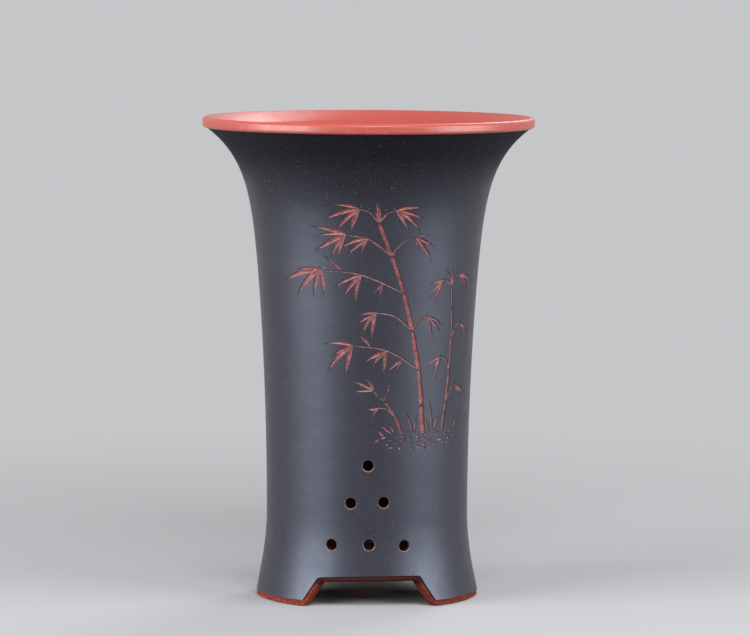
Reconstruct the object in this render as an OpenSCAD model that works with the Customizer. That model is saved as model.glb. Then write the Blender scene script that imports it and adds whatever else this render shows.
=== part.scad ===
// Tall round planter pot of two clays: a red clay pot under a thin dark clay skin,
// with a trumpet mouth, a red lip, three groups of vent holes and three feet cut from a ring.
// Frame: Z up, origin on the ground under the middle of the pot, front of the pot towards -Y.

/* [Overall] */
// Height from the ground to the crest of the lip
pot_h = 260; // [230:1:300]
// Widest diameter, across the lip
rim_d = 180; // [164:1:196]
// Diameter of the body at its waist
waist_d = 109.4; // [100:0.2:116]
// Height of the waist above the ground
waist_z = 45; // [38:1:60]
// Diameter that the foot reaches at the ground
foot_d = 122.6; // [114:0.2:130]

/* [Outline] */
// How far the body widens gently from waist to neck, before the trumpet
swell = 12.7; // [8:0.1:16]
// Power of the gentle widening
swell_power = 2; // [1.6:0.1:2.6]
// Power of the trumpet: higher is a later and sharper flare
flare_power = 12.4; // [8:0.2:16]
// Power of the spread from waist to foot
foot_power = 1.85; // [1.5:0.05:2.5]

/* [Wall] */
// Whole wall, red clay and dark skin together, square to the surface
wall_t = 5.5; // [4.5:0.1:7]
// Dark skin laid over the red clay
skin_t = 0.8; // [0.5:0.05:1.2]

/* [Lip] */
// Height of the red lip
lip_h = 5.6; // [4.6:0.1:8]
// How far the lip stands out past the dark body below it
lip_overhang = 2; // [1.6:0.1:3]
// Rounding of the lip's lower outer edge
lip_low_round = 1.5; // [0.8:0.1:1.6]
// Rounding of the lip's upper outer edge, up to its crest
lip_top_round = 2.5; // [1.5:0.1:2.8]

/* [Floor] */
// Height of the floor's underside above the ground
floor_z = 19; // [18.5:0.5:21]
// Thickness of the floor
floor_t = 7; // [5:0.5:8]
// Drain hole in the middle of the floor
drain_d = 26; // [10:1:40]
// Clay coil pressed into the corner of floor and wall
seam_size = 3; // [2:0.25:3.5]

/* [Feet] */
// Number of feet, and of the cut-outs between them
feet = 3; // [3:1:4]
// How much thicker the foot ring is than the wall, as the ledge that carries the floor
foot_ledge = 1.5; // [1:0.25:3]
// Height of a cut-out in the dark skin
cut_h = 17.3; // [14:0.1:18]
// Width of a cut-out at its top
cut_top_w = 53.2; // [30:0.2:56]
// Width that a cut-out reaches at the ground
cut_base_w = 75.8; // [58:0.2:80]
// Rounding of a cut-out's upper corners
cut_round = 3; // [2.2:0.1:4]
// Rounding of a foot's toes
toe_round = 3; // [2:0.5:6]
// Red edge left bare of skin round the cut-outs
bare_edge = 1.9; // [1:0.1:2.1]
// Height of the red edge left bare of skin above the ground
bare_sole = 3.2; // [2.6:0.1:4]
// Rounding of the sole's outer edge
sole_round = 1.6; // [1:0.1:2.2]
// Bevel of the sole's inner edge
sole_bevel = 1; // [0.5:0.1:1.5]

/* [Vents] */
// Diameter of a vent hole
vent_d = 6; // [4:0.25:7]
// Width of the bevel round a vent hole in the skin
vent_bevel = 0.4; // [0.2:0.05:0.45]
// Height of the single top vent
vent_top_z = 77; // [74:0.5:90]
// Height of the pair of vents
vent_pair_z = 57; // [53:0.5:60]
// Height of the row of three vents
vent_row_z = 34.5; // [34:0.25:36]
// Distance round the wall between the two vents of the pair
vent_pair_gap = 18; // [14:0.5:22]
// Distance round the wall between the vents of the row of three
vent_row_gap = 20; // [14:0.5:22]

/* [Hidden] */

$fn = 96;
// How far a cut runs past the clay that it cuts
overrun = 2;
// Reach of a foot cutter, from the axis of the pot to outside the foot
cut_reach = foot_d / 2 + overrun;
// Steps along each stretch of the outline, and round a rounded edge
foot_steps = 5;
floor_steps = 2;
seam_steps = 2;
waist_steps = 4;
body_steps = 36;
arc_steps = 6;
// Crowds the outline's steps towards the trumpet, where it bends most
crowding = 1.6;

red_clay = "#b5523f";
dark_clay = "#4a4b57";

waist_r = waist_d / 2;
foot_r = foot_d / 2;
rim_r = rim_d / 2;
neck_r = rim_r - lip_overhang;
neck_z = pot_h - lip_h;
foot_t = wall_t + foot_ledge;
floor_top = floor_z + floor_t;
seam_top = floor_top + seam_size;
side_turn = 360 / feet;

// Share of the way from waist to neck, and from waist to ground
function rise(z) = (z - waist_z) / (neck_z - waist_z);
function drop(z) = (waist_z - z) / waist_z;

// Outline of the body: a gentle widening and a trumpet above the waist, a spread foot below it
function body_r(z) = z < waist_z
    ? waist_r + (foot_r - waist_r) * pow(drop(z), foot_power)
    : waist_r + swell * pow(rise(z), swell_power)
        + (neck_r - waist_r - swell) * pow(rise(z), flare_power);

// How fast the outline widens with height
function body_slope(z) = z < waist_z
    ? -(foot_r - waist_r) * foot_power * pow(drop(z), foot_power - 1) / waist_z
    : (swell * swell_power * pow(rise(z), swell_power - 1)
        + (neck_r - waist_r - swell) * flare_power * pow(rise(z), flare_power - 1))
        / (neck_z - waist_z);

// Radius at a depth into the wall, where the depth is square to the surface
function inner_r(z, depth) = body_r(z) - depth * sqrt(1 + pow(body_slope(z), 2));

// Heights from low to high in equal steps, and crowded towards high
function span(low, high, steps) = [for (i = [1:steps]) low + (high - low) * i / steps];
function crowded(low, high, steps) =
    [for (i = [1:steps]) high - (high - low) * pow(1 - i / steps, crowding)];

foot_levels = concat([bare_sole], span(bare_sole, floor_z, foot_steps));
floor_levels = concat([floor_z], span(floor_z, floor_top, floor_steps));
seam_levels = concat([floor_top], span(floor_top, seam_top, seam_steps));
body_levels = concat(span(seam_top, waist_z, waist_steps), crowded(waist_z, neck_z, body_steps));
wall_levels = concat(floor_levels, [for (i = [1:seam_steps]) seam_levels[i]], body_levels);
skin_levels = concat(foot_levels, [for (i = [1:len(wall_levels) - 1]) wall_levels[i]]);

// Points of the outline at a depth, going up or going down
function going_up(levels, depth) = [for (z = levels) [inner_r(z, depth), z]];
function going_down(levels, depth) =
    [for (i = [len(levels) - 1:-1:0]) [inner_r(levels[i], depth), levels[i]]];

function unit(v) = v / norm(v);

// Arc that rounds the corner b of the line a-b-c, as points from a's side to c's side
function rounded(a, b, c, r) =
    let (
        to_a = unit(a - b),
        to_c = unit(c - b),
        half = acos(to_a * to_c) / 2,
        middle = b + unit(to_a + to_c) * r / sin(half),
        start = b + to_a * r / tan(half) - middle,
        end = b + to_c * r / tan(half) - middle,
        turn = acos(unit(start) * unit(end)),
        way = sign(start.x * end.y - start.y * end.x)
    )
    [for (i = [0:arc_steps])
        let (t = way * turn * i / arc_steps)
        middle + [start.x * cos(t) - start.y * sin(t), start.x * sin(t) + start.y * cos(t)]];

// Curve from a to c that leaves a towards b and reaches c from b
function bend(a, b, c) =
    [for (i = [0:arc_steps])
        let (t = i / arc_steps)
        a * pow(1 - t, 2) + b * 2 * t * (1 - t) + c * pow(t, 2)];

// Sides of a cut-out: each is aimed at the middle of the pot, as a knife is held square to the wall
cut_mid_r = body_r(cut_h / 2);
cut_aim = asin((cut_top_w + cut_base_w) / 4 / cut_mid_r);
function cut_edge(w, z) = body_r(z) * sin(asin(w / 2 / body_r(z)) - cut_aim);
cut_low_x = cut_edge(cut_base_w, 0);
cut_high_x = cut_edge(cut_top_w, cut_h);
cut_lean = (cut_high_x - cut_low_x) / cut_h;
function cut_x(z, inset) = cut_low_x + cut_lean * z - inset * sqrt(1 + pow(cut_lean, 2));

// All that lies left of a cut-out's right side, with its upper corner and the toe below it rounded
module left_of_side(inset) {
    low = [cut_x(0, inset), 0];
    high = [cut_x(cut_h - inset, inset), cut_h - inset];
    open = [-cut_reach, cut_h - inset];
    toe_end = low + [toe_round + overrun, 0];
    rotate([0, 0, cut_aim])
        rotate([90, 0, 0])
            linear_extrude(cut_reach)
                polygon(concat(
                    [[open.x, -overrun], [toe_end.x, -overrun], toe_end],
                    rounded(toe_end, low, high, toe_round),
                    rounded(low, high, open, cut_round),
                    [open]
                ));
}

// Every cut-out between the feet, made smaller by an inset
module cut_outs(inset) {
    for (side = [0:feet - 1])
        rotate([0, 0, side * side_turn])
            intersection() {
                left_of_side(inset);
                mirror([1, 0, 0]) left_of_side(inset);
            }
}

// Places of the vents of one group: [height, distance round the wall from the group's middle]
vent_places = [
    [vent_top_z, 0],
    [vent_pair_z, -vent_pair_gap / 2],
    [vent_pair_z, vent_pair_gap / 2],
    [vent_row_z, -vent_row_gap],
    [vent_row_z, 0],
    [vent_row_z, vent_row_gap]
];

// A shape along -Z of its own frame set at every vent, from the outside of the skin inwards
module at_vents() {
    for (side = [0:feet - 1], place = vent_places) {
        r = body_r(place[0]);
        rotate([0, 0, side * side_turn + place[1] / r * 180 / PI])
            translate([0, -r, place[0]])
                rotate([90, 0, 0]) children();
    }
}

module vent_drill() {
    translate([0, 0, -wall_t - overrun]) cylinder(h = wall_t + overrun * 2, d = vent_d);
}

module vent_countersink() {
    translate([0, 0, -vent_bevel])
        cylinder(h = vent_bevel * 2, d1 = vent_d, d2 = vent_d + vent_bevel * 4);
}

// Red clay tube from the foot ring to the lip
module inner_wall() {
    color(red_clay)
        difference() {
            rotate_extrude()
                polygon(concat(going_up(wall_levels, skin_t), going_down(wall_levels, wall_t)));
            at_vents() vent_drill();
        }
}

// Dark clay laid over the wall and the foot ring, trimmed back from the edges of the feet
module outer_skin() {
    color(dark_clay)
        difference() {
            rotate_extrude()
                polygon(concat(going_up(skin_levels, 0), going_down(skin_levels, skin_t)));
            cut_outs(0);
            at_vents() {
                vent_drill();
                vent_countersink();
            }
        }
}

// Red clay lip on top of the wall and skin, with a sharp crest over a flaring mouth
module rim_lip() {
    mouth = [inner_r(neck_z, wall_t), neck_z];
    crest = [rim_r - lip_top_round, pot_h];
    throat = mouth + [body_slope(neck_z), 1] * lip_h / 2;
    color(red_clay)
        rotate_extrude()
            polygon(concat(
                rounded(mouth, [rim_r, neck_z], [rim_r, pot_h], lip_low_round),
                rounded([rim_r, neck_z], [rim_r, pot_h], crest, lip_top_round),
                bend(crest, throat, mouth)
            ));
}

// Floor slab that lies on the foot ring's ledge, with its drain hole
module floor_disc() {
    color(red_clay)
        difference() {
            rotate_extrude()
                polygon(concat([[0, floor_z]], going_up(floor_levels, wall_t), [[0, floor_top]]));
            translate([0, 0, floor_z - overrun]) cylinder(h = floor_t + overrun * 2, d = drain_d);
        }
}

// Coil smoothed into a hollow fillet between floor and wall
module floor_seam() {
    foot = [inner_r(floor_top, wall_t) - seam_size, floor_top];
    corner = [inner_r(floor_top, wall_t), floor_top];
    head = [inner_r(seam_top, wall_t), seam_top];
    color(red_clay)
        rotate_extrude()
            polygon(concat(going_up(seam_levels, wall_t), bend(head, corner, foot)));
}

// Red clay ring under the wall, cut into feet
module foot_ring() {
    sole_r = inner_r(0, skin_t);
    sole_in_r = inner_r(0, foot_t);
    outer_edge = rounded([sole_in_r, 0], [sole_r, 0], [inner_r(bare_sole, skin_t), bare_sole], sole_round);
    color(red_clay)
        difference() {
            rotate_extrude()
                polygon(concat(
                    [[sole_in_r + sole_bevel, 0]],
                    outer_edge,
                    going_up(foot_levels, skin_t),
                    going_down(foot_levels, foot_t),
                    [[sole_in_r, sole_bevel]]
                ));
            cut_outs(bare_edge);
        }
}

inner_wall();
outer_skin();
rim_lip();
floor_disc();
floor_seam();
foot_ring();
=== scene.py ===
# Visual model of a tall clay planter pot: dark skin over red clay, with a carved bamboo.
import math

import bpy
import numpy as np
from mathutils import Matrix, Vector, kdtree
from mathutils.geometry import delaunay_2d_cdt


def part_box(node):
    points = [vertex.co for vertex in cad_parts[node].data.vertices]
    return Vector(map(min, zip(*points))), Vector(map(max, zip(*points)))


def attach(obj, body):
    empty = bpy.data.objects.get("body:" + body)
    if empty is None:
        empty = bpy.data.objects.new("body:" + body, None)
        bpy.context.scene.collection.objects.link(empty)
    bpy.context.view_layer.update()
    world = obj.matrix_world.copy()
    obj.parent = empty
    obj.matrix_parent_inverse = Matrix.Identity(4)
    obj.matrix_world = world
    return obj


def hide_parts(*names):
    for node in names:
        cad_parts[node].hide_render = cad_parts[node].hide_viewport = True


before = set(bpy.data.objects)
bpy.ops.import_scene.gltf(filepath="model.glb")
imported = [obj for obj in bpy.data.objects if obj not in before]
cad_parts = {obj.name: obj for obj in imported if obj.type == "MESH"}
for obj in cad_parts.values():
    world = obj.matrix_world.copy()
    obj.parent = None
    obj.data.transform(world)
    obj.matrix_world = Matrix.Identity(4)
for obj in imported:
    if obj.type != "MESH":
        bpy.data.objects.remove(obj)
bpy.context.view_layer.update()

# Lengths below are in millimetres, and MM turns them into the frame's metres.
MM = 0.001


def box_mm(node):
    """Lowest and highest corner of a CAD node, in millimetres."""
    low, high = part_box(node)
    return low / MM, high / MM


# Sizes that the frame gives
RIM_R = box_mm("rim_lip")[1].x
POT_H = box_mm("rim_lip")[1].z
NECK_Z = box_mm("rim_lip")[0].z
FLOOR_Z = box_mm("floor_disc")[0].z
FLOOR_TOP = box_mm("floor_disc")[1].z
SEAM_TOP = box_mm("floor_seam")[1].z
SKIN_LOW = box_mm("outer_skin")[0].z

# Outline of the body, as in the CAD model
WAIST_R = 54.7
WAIST_Z = 45.0
FOOT_R = 61.3
SWELL = 12.7
SWELL_POWER = 2.0
FLARE_POWER = 12.4
FOOT_POWER = 1.85
LIP_OVERHANG = 2.0
NECK_R = RIM_R - LIP_OVERHANG

# Depths of the clay layers, square to the surface
SKIN_T = 0.8
WALL_T = 5.5
FOOT_T = 7.0

# Lip
LIP_LOW_ROUND = 1.5
LIP_TOP_ROUND = 1.9
CREST_ROUND = 0.5

# Feet and the cut-outs between them
FEET = 3
CUT_H = 17.3
CUT_TOP_W = 53.2
CUT_BASE_W = 75.8
CUT_ROUND = 3.0
TOE_ROUND = 3.0
BARE_EDGE = 1.9
RING_LOWER = 0.4
ROOF_DROP = 0.7

# Rounding of the layers' lower edges, and its share on the soles, up to a height where it is whole
SKIN_ROUND = 0.3
SKIN_TOE_ROUND = 0.8
RING_ROUND = 2.2
RING_BACK_ROUND = 1.0
SOLE_ROUND_SHARE = 0.25
SOLE_FADE = 5.0

# How a hand left the cut-outs: bow and tilt of the top, and how much wider and further right
CUT_SAG = 1.1
CUT_TILT = 0.5
CUT_WIDER = 1.5
CUT_SHIFT_LOW = 2.0
CUT_SHIFT_HIGH = 0.7
BOW_END_SHARE = 1.2

# Waves of the skin's trimmed edge: size, how many go round the pot, and where they start
TRIM_WAVES = [(0.24, 4, -1.7), (0.14, 11, 2.0), (0.08, 27, 1.0)]
TRIM_DROP = 0.15
TRIM_FADE = 5.0

# Floor and its drain hole
DRAIN_R = 13.0
DRAIN_TOP_ROUND = 1.5
DRAIN_LOW_ROUND = 1.0
SEAM_SIZE = SEAM_TOP - FLOOR_TOP

# Vents as a hand punched them: height, and distance round the wall from the middle of their group
VENT_PLACES = [(76.5, 0.6), (56.3, -8.7), (56.8, 9.1), (33.6, -19.3), (34.1, 1.3), (33.2, 20.6)]
VENT_R = 3.0
VENT_BEVEL = 0.45
VENT_BACK_ROUND = 0.6
# Depth of cut that the clay round a vent is coloured for, so that its bevel in the skin is pale and bare, and
# its tunnel through the red wall gets painted shade
VENT_BARE = 0.43

# The unrolled plane: distance round the wall is angle times this radius
FLAT_R = WAIST_R
SIDE_TURN = 2 * math.pi / FEET
HALF_ROUND = math.pi * FLAT_R
SIDES = (-1, 0, 1)

# Steps of the meshes
EDGE_STEP = 1.5
CORNER_STEPS = 6
EDGE_ROUND_STEPS = 4
VENT_STEPS = 40
GRID_STEP = 3.0
GRID_STEP_HIGH = 1.3
GRID_CLEARANCE = 0.9
FLARE_START_Z = 205.0
LIP_STEPS = 10
LIP_LOW_STEPS = 8
CREST_STEPS = 3
DRAIN_STEPS = 5
SEAM_STEPS = 8
LIP_TURN_STEPS = 288
FLOOR_TURN_STEPS = 128
# Angles in degrees above which an edge of a turned piece stays sharp
LIP_SHARP = 20
FLOOR_SHARP = 50

# Distances that are next to nothing
SLOPE_STEP = 0.01
HAIR = 0.02
TINY = 1e-6
SAME_PLACE = 1e-7


# Outline and layers

def drop_and_rise(z):
    """Shares of the way from the waist down to the ground and up to the neck."""
    z = np.asarray(z, float)
    drop = np.clip((WAIST_Z - z) / WAIST_Z, 0, None)
    rise = np.clip((z - WAIST_Z) / (NECK_Z - WAIST_Z), 0, None)
    return drop, rise


def body_r(z):
    """Radius of the outside at a height."""
    drop, rise = drop_and_rise(z)
    below = (FOOT_R - WAIST_R) * drop ** FOOT_POWER
    above = SWELL * rise ** SWELL_POWER + (NECK_R - WAIST_R - SWELL) * rise ** FLARE_POWER
    return WAIST_R + below + above


def body_slope(z):
    """How fast the radius grows with height."""
    drop, rise = drop_and_rise(z)
    below = -(FOOT_R - WAIST_R) * FOOT_POWER * drop ** (FOOT_POWER - 1) / WAIST_Z
    gentle = SWELL * SWELL_POWER * rise ** (SWELL_POWER - 1)
    steep = (NECK_R - WAIST_R - SWELL) * FLARE_POWER * rise ** (FLARE_POWER - 1)
    return below + (gentle + steep) / (NECK_Z - WAIST_Z)


def layer_r(z, depth):
    """Radius at a depth into the clay, where the depth is square to the surface."""
    return body_r(z) - depth * np.sqrt(1 + body_slope(z) ** 2)


def in_space(u, z, depth):
    """Points in the frame, in metres, from the unrolled plane and a depth."""
    r = layer_r(z, depth)
    angle = u / FLAT_R
    return np.stack([r * np.sin(angle), -r * np.cos(angle), z], axis=-1) * MM


def surface_normal(u, z, depth, outward):
    """Exact normals of the layer at a depth, facing out of the pot or into it."""
    slope = (layer_r(z + SLOPE_STEP, depth) - layer_r(z - SLOPE_STEP, depth)) / (2 * SLOPE_STEP)
    size = np.sqrt(1 + slope ** 2) * (1 if outward else -1)
    angle = u / FLAT_R
    return np.stack([np.sin(angle) / size, -np.cos(angle) / size, -slope / size], axis=-1)


# Lines

def rounded(a, b, c, radius, steps):
    """Arc that rounds the corner b of the line a-b-c, as points from a's side to c's side."""
    a, b, c = (np.asarray(p, float) for p in (a, b, c))
    to_a = (a - b) / np.linalg.norm(a - b)
    to_c = (c - b) / np.linalg.norm(c - b)
    half = math.acos(np.dot(to_a, to_c)) / 2
    middle = b + (to_a + to_c) / np.linalg.norm(to_a + to_c) * radius / math.sin(half)
    start = b + to_a * radius / math.tan(half) - middle
    end = b + to_c * radius / math.tan(half) - middle
    square = np.array([-start[1], start[0]])
    turn = math.atan2(np.dot(square, end), np.dot(start, end))
    return [middle + (start * math.cos(t) + square * math.sin(t)) for t in np.linspace(0, turn, steps + 1)]


def bend(a, b, c, steps):
    """Curve from a to c that leaves a towards b and reaches c from b."""
    a, b, c = (np.asarray(p, float) for p in (a, b, c))
    return [a * (1 - t) ** 2 + b * 2 * t * (1 - t) + c * t ** 2 for t in np.linspace(0, 1, steps + 1)]


def filled(points, step, like=None):
    """The same line with points added until no step, of it or of a line like it, is longer than step."""
    points = np.asarray(points, float)
    gaps = np.linalg.norm(np.diff(points if like is None else like, axis=0), axis=1)
    out = [points[0]]
    for a, b, gap in zip(points[:-1], points[1:], gaps):
        count = max(1, math.ceil(gap / step))
        out += [a + (b - a) * i / count for i in range(1, count + 1)]
    return np.array(out)


def moved_in(line, distance):
    """An open line moved to its left by a distance, with its corners kept sharp."""
    steps = np.diff(line, axis=0)
    normals = np.stack([-steps[:, 1], steps[:, 0]], axis=1) / np.linalg.norm(steps, axis=1)[:, None]
    before = np.vstack([normals[:1], normals])
    after = np.vstack([normals, normals[-1:]])
    middle = before + after
    middle /= np.linalg.norm(middle, axis=1)[:, None]
    return line + middle * (distance / np.sum(middle * after, axis=1))[:, None]


def smooth_line(points, step):
    """Smooth curve through a few points, as points a step apart."""
    p = np.asarray(points, float)
    ends = np.vstack([2 * p[0] - p[1], p, 2 * p[-1] - p[-2]])
    out = [p[:1]]
    for a, b, c, d in zip(ends[:-3], ends[1:-2], ends[2:-1], ends[3:]):
        count = max(2, math.ceil(np.linalg.norm(c - b) / step))
        t = np.linspace(0, 1, count + 1)[1:, None]
        out.append(0.5 * (2 * b + (c - a) * t + (2 * a - 5 * b + 4 * c - d) * t ** 2
                          + (3 * b - a - 3 * c + d) * t ** 3))
    return np.vstack(out)


def run_of(line):
    """Distance along a line at each of its points."""
    return np.r_[0, np.cumsum(np.linalg.norm(np.diff(line, axis=0), axis=1))]


def point_at(line, distance):
    """Point of a line at a distance along it."""
    run = run_of(line)
    return np.array([np.interp(distance, run, line[:, 0]), np.interp(distance, run, line[:, 1])])


# Edges of the feet and the vents

CUT_AIM = math.asin((CUT_TOP_W + CUT_BASE_W) / 4 / body_r(CUT_H / 2))


def cut_edge(width, z):
    """Distance of a cut-out's edge from its aim."""
    r = body_r(z)
    return r * math.sin(math.asin(width / 2 / r) - CUT_AIM)


CUT_LOW_X = cut_edge(CUT_BASE_W, 0)
CUT_LEAN = (cut_edge(CUT_TOP_W, CUT_H) - CUT_LOW_X) / CUT_H


def cut_x(z, inset):
    """Distance of a cut-out's edge from its aim, with the cut-out made smaller by an inset."""
    return CUT_LOW_X + CUT_LEAN * z - inset * math.sqrt(1 + CUT_LEAN ** 2)


def half_cut(depth, inset, top, low_z, toe_round):
    """Edge from the middle of a cut-out to the middle of the foot at its right."""
    low = (cut_x(low_z, inset), low_z)
    high = (cut_x(top, inset), top)
    corner = rounded((high[0] - CUT_ROUND * 2, top), high, low, CUT_ROUND, CORNER_STEPS)
    toe = rounded(high, low, (low[0] + toe_round * 2, low_z), toe_round, CORNER_STEPS)
    side = np.array(corner + toe)
    halves = []
    for at_depth in (depth, 0):
        angle = CUT_AIM + np.arcsin(side[:, 0] / layer_r(side[:, 1], at_depth))
        half = np.column_stack([angle * FLAT_R, side[:, 1]])
        halves.append(np.vstack([[0, top], half, [SIDE_TURN / 2 * FLAT_R, low_z]]))
    return filled(halves[0], EDGE_STEP, halves[1])


def hand_cut(line):
    """Edge of one cut-out as the hand left it: top bowed and tilted, right side wider, all further right."""
    u, z = line[:, 0], line[:, 1]
    raised = np.clip(z / CUT_H, 0, 1)
    height = raised ** 2
    shift = CUT_SHIFT_LOW + (CUT_SHIFT_HIGH - CUT_SHIFT_LOW) * raised
    past = np.clip((np.abs(u) - CUT_BASE_W / 2) / (SIDE_TURN / 2 * FLAT_R - CUT_BASE_W / 2), 0, 1)
    across = np.clip(u / (CUT_TOP_W / 2), -BOW_END_SHARE, BOW_END_SHARE)
    sagged = z - (CUT_SAG * across ** 2 - CUT_TILT * across) * height
    wider = u + CUT_WIDER * height * np.clip(across, 0, 1) + shift * (1 - past)
    return np.column_stack([wider, sagged])


def foot_contour(depth, inset, low_z, toe_round, grow, roof_drop=0):
    """Lower edge of a layer with its cut-outs, all round, drawn back into the clay by grow."""
    half = half_cut(depth, inset, CUT_H - inset - roof_drop, low_z, toe_round)
    whole = hand_cut(np.vstack([(half * (-1, 1))[:0:-1], half]))
    copies = [whole[1:] + (SIDE_TURN * FLAT_R * side, 0) for side in SIDES]
    line = np.vstack([copies[0][:1], *copies])
    line[0] = (-HALF_ROUND, line[-1, 1])
    line[-1, 0] = HALF_ROUND
    at_cut = np.clip((line[:, 1] - low_z) / SOLE_FADE, SOLE_ROUND_SHARE, 1)
    drawn_back = moved_in(line, grow * at_cut)
    drawn_back[0, 0] = -HALF_ROUND
    drawn_back[-1, 0] = HALF_ROUND
    drawn_back[0, 1] = drawn_back[-1, 1]
    return drawn_back


def trimmed(line):
    """The skin's lower edge as the knife trimmed it: a little higher or lower along the soles."""
    u, z = line[:, 0], line[:, 1]
    turn = u / FLAT_R
    wave = sum(size * np.sin(count * turn + shift) for size, count, shift in TRIM_WAVES)
    near_sole = np.clip(1 - (z - SKIN_LOW) / TRIM_FADE, 0, 1)
    return np.column_stack([u, z + (wave - TRIM_DROP) * near_sole])


def flat_edge(z):
    """Level edge all round at a height."""
    return filled([(-HALF_ROUND, z), (HALF_ROUND, z)], EDGE_STEP * 2)


def vent_ring(vent, depth, radius):
    """Edge of a vent at a depth, as points of the unrolled plane."""
    z0, around = vent
    turn = np.linspace(0, 2 * math.pi, VENT_STEPS, endpoint=False)
    z = z0 + radius * np.sin(turn)
    angle = around / body_r(z0) + np.arcsin(radius * np.cos(turn) / layer_r(z, depth))
    return np.column_stack([angle * FLAT_R, z])


VENTS = [(z, around + side * SIDE_TURN * body_r(z)) for side in SIDES for z, around in VENT_PLACES]


# Carved strokes

# Sections across a cut, from one edge to the other: place across and share of the depth
KNIFE_SHARES = [(-1, 0), (-0.8, 0.6), (0.15, 1), (0.8, 0.6), (1, 0)]
GOUGE_SHARES = [(-1, 0), (-0.75, 0.9), (0, 0.75), (0.75, 0.9), (1, 0)]
# Widths along a cut, from its start to its end
LEAF_SHARES = [0.15, 0.55, 0.85, 1, 0.98, 0.88, 0.74, 0.57, 0.38, 0.18, 0]
TWIG_SHARES = [0.8, 1, 0.95, 0.9, 0.85, 0.8, 0.75]
STEM_SHARES = [0.75, 1, 0.93, 0.88, 0.87, 0.88, 0.93, 1, 0.75]
BLADE_SHARES = [0.2, 0.8, 1, 0.9, 0.7, 0.45, 0.2, 0]
# Places along a stroke that its curve goes through
THIRD_SHARES = (0, 0.33, 0.66, 1)

# Depth of the cuts, and how the knife's width wobbles
HAND = np.random.default_rng(7)
STROKE_STEP = 1.1
STROKE_REACH = 3.0
CARVE_DEPTH = 0.74
DEPTH_SHARE = 0.42
WOBBLE_LENGTH = 2.5
WOBBLE_SHARE = 0.12

# Leaves: start behind the twig, and spread of lengths, headings, widths and bows
LEAF_START = 1.2
LEAF_LENGTH_SHARES = (0.75, 1.2)
LEAF_HEADINGS = (-8, 8)
LEAF_WIDTH_SHARES = (0.11, 0.15)
LEAF_BOW_SHARES = (0.02, 0.1)
FAN_STEP = 25
FAN_SHORTER_SHARE = 0.13

# Twigs, and what long ones carry: fans, by turn, leaves and share of the length, and a lone leaf
TWIG_WIDTH = 1.3
TWIG_LIFT_SHARE = 0.8
LONG_TWIG = 19
LONGER_TWIG = 30
HALF_WAY_FAN = (12, 3, 0.8)
LOWER_FAN = (16, 2, 0.6)
LONE_LEAF_TURN = 50
LONE_LEAF_LIFT = 1.0
LONE_LEAF_SHARE = 0.6

# Stems: gap at each joint, how thin they end, and the hooked cut at the joints of thick ones
STEM_STEP = 1.0
STEM_GAP = 1.8
STEM_TAPER_SHARE = 0.35
HOOKED_STEM = 1.9
HOOK_REACH_SHARE = 0.8
HOOK_WIDTH = 1.0
HOOK_FEEL = 1.0
HOOK_RISE = 0.4
HOOK_DROP = 0.5

# Each stem: points, width, joints along it, and sprays. Each spray: joint that it starts from, reach
# to the side, rise, the middle heading of its leaves in degrees, their number and length
STEMS = [
    ([(31, 93), (28, 124), (19, 166), (5, 207)], 3.0, [0.13, 0.3, 0.48, 0.66, 0.84], [
        (5, 0, 0, 96, 3, 13), (5, -9, 7, 208, 4, 21), (5, 8, 6, -26, 4, 19),
        (4, -22, 11, 212, 5, 23), (4, 12, 9, -40, 4, 17), (3, -42, 12, 224, 5, 24),
        (2, -19, 10, 232, 4, 20), (2, 8, 7, -50, 3, 14), (1, -35, 13, 222, 4, 21),
    ]),
    ([(44, 94), (48, 122), (49, 150), (47, 172)], 2.1, [0.2, 0.42, 0.64, 0.84], [
        (4, 0, 0, 98, 3, 13), (4, -6, 3, 224, 3, 15), (4, 6, 5, -36, 4, 16),
        (2, 8, 7, -60, 3, 16), (1, -7, 7, 238, 3, 14), (0, 8, 8, -46, 3, 14),
    ]),
    ([(19, 93), (13, 106), (3, 117)], 1.8, [0.4, 0.72], [
        (2, 0, 0, 158, 3, 13), (1, 2, 5, 74, 2, 10), (0, -8, 4, 214, 3, 12),
    ]),
]

# Blades of grass: where each starts, heading and length
GRASS = [
    (25, 94, 112, 15), (26, 94, 84, 11), (37, 95, 98, 18), (38, 94, 66, 13), (50, 94, 60, 17),
    (52, 94, 36, 13), (14, 93, 150, 14), (15, 93, 124, 10), (35, 94, 116, 12), (9, 92, 140, 8),
]
GRASS_WIDTH = 1.4
GRASS_BOW_SHARE = 0.08

# Nicks in the earth, in an oval
NICK_TRIES = 220
NICK_MIDDLE = (31, 89)
NICK_SPREAD = (28, 5)
NICK_GAP = 3.7
NICK_GAP_SHARES = (1, 1.8)
NICK_HEADINGS = (-20, 40)
NICK_LENGTHS = (2.2, 4.6)
NICK_WIDTHS = (1.1, 1.9)
NICK_HUMP = 0.4


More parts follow.
